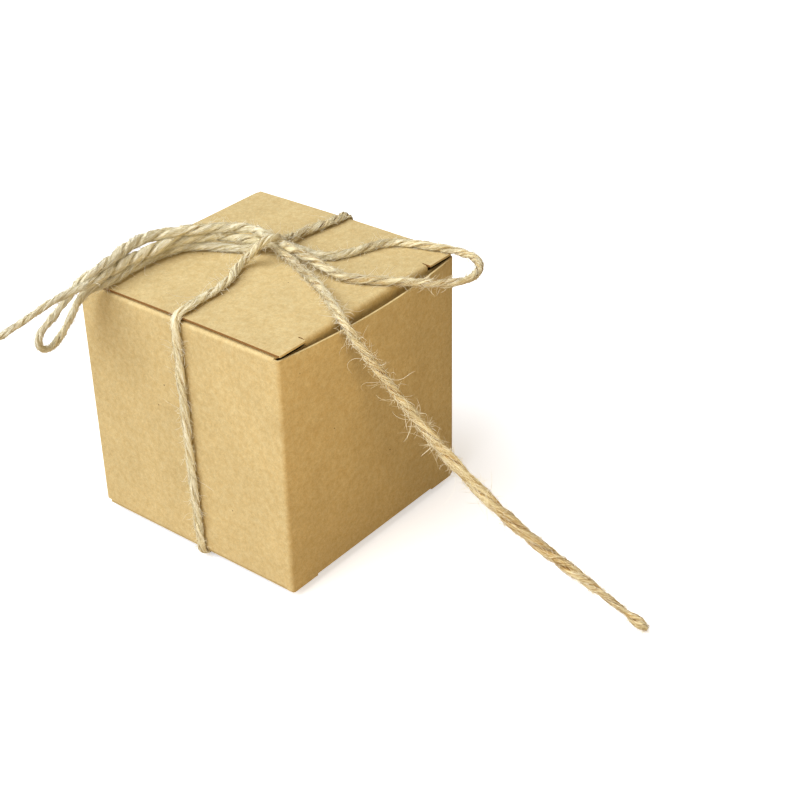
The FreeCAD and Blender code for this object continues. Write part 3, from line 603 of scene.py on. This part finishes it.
kraft_board, tree = new_material("uncoated_kraft_board")
place = node(tree, "ShaderNodeTexCoord").outputs["Object"]
millimetres = node(tree, "ShaderNodeMapping", {
    "Vector": place, "Scale": (1000, 1000, 1000)}).outputs["Vector"]
FIBRE_GRAIN = 0.35    # mm
BOARD_LAYERS = [
    # grain in mm, detail, distortion, colours: the pulp's mottle, its fibres and broad clouds
    (1.1, 4.0, 0.0, [(0.30, "#d2b87f"), (0.70, "#dfcb96"), (0.5, "#d9c28b")]),
    (FIBRE_GRAIN, 2.0, 1.2, [(0.36, "#ececec"), (0.62, "#ffffff")]),
    (9.0, 2.0, 0.0, [(0.35, "#f8f8f8"), (0.65, "#ffffff")]),
]
BARK_SPECKS = [
    # spacing and radius in mm, strength, colour
    (2.9, 0.15, 0.3, "#8f6a38"), (6.5, 0.20, 1.0, "#6b4a28"),
]
board = linear("#ffffff")
for grain_size, detail, distortion, stops in BOARD_LAYERS:
    pulp = node(tree, "ShaderNodeTexNoise", {
        "Vector": millimetres, "Scale": 1 / grain_size, "Detail": detail, "Roughness": 0.6,
        "Distortion": distortion}).outputs["Fac"]
    layer = node(tree, "ShaderNodeValToRGB", {"Fac": pulp}, stops).outputs["Color"]
    board = node(tree, "ShaderNodeMix", {0: 1.0, 6: board, 7: layer},
                 data_type="RGBA", blend_type="MULTIPLY").outputs[2]
for spacing, radius, strength, colour in BARK_SPECKS:
    near = node(tree, "ShaderNodeTexVoronoi", {
        "Vector": millimetres, "Scale": 1 / spacing}).outputs["Distance"]
    speck = node(tree, "ShaderNodeMapRange", {0: near, 1: radius / spacing, 2: 0.5 * radius / spacing,
                                              3: 0.0, 4: strength}).outputs["Result"]
    board = node(tree, "ShaderNodeMix", {0: speck, 6: board, 7: linear(colour)}, data_type="RGBA").outputs[2]

# The lid's two side edges are cut, and show the browner core of the board; they are drawn darker still as
# painted shade of the dark gap between the lid's edge and the tops of the side walls. A face is one of them
# where it is inside the side walls, above the lid's foot, and turned to the side.
LID_SIDE, LID_FOOT = 24.85, 51.2      # mm, from the carton's middle and from the floor
TURNED = 0.8                          # share of its normal that is sideways
CUT_EDGE_AND_GAP_SHADE = "#8c6435"
where = node(tree, "ShaderNodeSeparateXYZ", {"Vector": millimetres}).outputs
normal = node(tree, "ShaderNodeNewGeometry").outputs["True Normal"]
sideways = node(tree, "ShaderNodeSeparateXYZ", {"Vector": normal}).outputs["X"]
off_middle = node(tree, "ShaderNodeMath", {0: where["X"]}, operation="ABSOLUTE").outputs[0]
steep = node(tree, "ShaderNodeMath", {0: sideways}, operation="ABSOLUTE").outputs[0]
cut_edge_and_gap_shade = 1.0
for value, limit, test in ((off_middle, LID_SIDE, "LESS_THAN"), (where["Z"], LID_FOOT, "GREATER_THAN"),
                           (steep, TURNED, "GREATER_THAN")):
    passed = node(tree, "ShaderNodeMath", {0: value, 1: limit}, operation=test).outputs[0]
    cut_edge_and_gap_shade = node(tree, "ShaderNodeMath", {0: cut_edge_and_gap_shade, 1: passed}, operation="MULTIPLY").outputs[0]
# The cut edges' own browner colour and the painted shade of the gap under them, in one mix.
board = node(tree, "ShaderNodeMix", {0: cut_edge_and_gap_shade, 6: board, 7: linear(CUT_EDGE_AND_GAP_SHADE)},
             data_type="RGBA").outputs[2]
fibres = node(tree, "ShaderNodeTexNoise", {
    "Vector": millimetres, "Scale": 1 / FIBRE_GRAIN, "Detail": 3.0, "Distortion": 1.0}).outputs["Fac"]
bump = node(tree, "ShaderNodeBump", {
    "Height": fibres, "Strength": 0.3, "Distance": 0.03 * MM}).outputs["Normal"]
shader = node(tree, "ShaderNodeBsdfPrincipled", {
    "Base Color": board, "Roughness": 0.85, "Specular IOR Level": 0.3, "Normal": bump})
node(tree, "ShaderNodeOutputMaterial", {"Surface": shader.outputs["BSDF"]})
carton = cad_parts["carton"]
carton.data.materials.clear()
carton.data.materials.append(kraft_board)

# ---------------------------------------------------------------- floor, light and world
# A white paper floor, one large soft key from the upper left, a small warm fill low at the front, and an even
# white surround. The floor and the surround are white to the camera only, and duller to the object.

FLOOR_HALF = 3.0    # m
floor_mesh = bpy.data.meshes.new("floor")
floor_corners = [(x * FLOOR_HALF, y * FLOOR_HALF, 0) for x, y in ((-1, -1), (1, -1), (1, 1), (-1, 1))]
floor_mesh.from_pydata(floor_corners, [], [(0, 1, 2, 3)])
floor = bpy.data.objects.new("floor", floor_mesh)
scene.collection.objects.link(floor)
paper, tree = new_material("white_paper_floor")
diffuse = node(tree, "ShaderNodeBsdfDiffuse", {"Color": linear("#eef1f6")})
glow = node(tree, "ShaderNodeEmission", {"Color": linear("#ffffff"), "Strength": 0.5})
both = node(tree, "ShaderNodeAddShader", {0: diffuse.outputs[0], 1: glow.outputs[0]})
seen = node(tree, "ShaderNodeLightPath").outputs["Is Camera Ray"]
dull = node(tree, "ShaderNodeBsdfDiffuse", {"Color": linear("#b8a890")})
surface = node(tree, "ShaderNodeMixShader", {0: seen, 1: dull.outputs[0], 2: both.outputs[0]})
node(tree, "ShaderNodeOutputMaterial", {"Surface": surface.outputs[0]})
floor_mesh.materials.append(paper)


def soft_lamp(name, place, aim, size, power, colour):
    """A round lamp of a size in metres and a power in watts, at a place and turned to an aim."""
    lamp_data = bpy.data.lights.new(name, "AREA")
    lamp_data.shape = "DISK"
    lamp_data.size = size
    lamp_data.energy = power
    lamp_data.color = linear(colour)[:3]
    lamp = bpy.data.objects.new(name, lamp_data)
    direction = Vector(aim) - Vector(place)
    lamp.rotation_euler = direction.to_track_quat("-Z", "Y").to_euler()
    lamp.location = place
    lamp.visible_camera = False
    scene.collection.objects.link(lamp)


BOX_MIDDLE = (0, 0, 0.026)
FRONT_WALL = (-0.010, -0.025, 0.026)
soft_lamp("key", (-0.67, 0.34, 0.89), BOX_MIDDLE, size=1.5, power=24.0, colour="#f6f9ff")
soft_lamp("front_fill", (-0.045, -0.105, 0.065), FRONT_WALL, size=0.05, power=0.033, colour="#ffe3b6")

world = bpy.data.worlds.new("surround")
world.use_nodes = True
world.node_tree.nodes.clear()
air = node(world.node_tree, "ShaderNodeBackground", {"Color": linear("#ffe8c8"), "Strength": 0.28})
sky = node(world.node_tree, "ShaderNodeBackground", {"Color": linear("#ffffff"), "Strength": 1.0})
rays = node(world.node_tree, "ShaderNodeLightPath").outputs["Is Camera Ray"]
backdrop = node(world.node_tree, "ShaderNodeMixShader", {0: rays, 1: air.outputs[0], 2: sky.outputs[0]})
node(world.node_tree, "ShaderNodeOutputWorld", {"Surface": backdrop.outputs[0]})
scene.world = world
scene.view_settings.view_transform = "Standard"
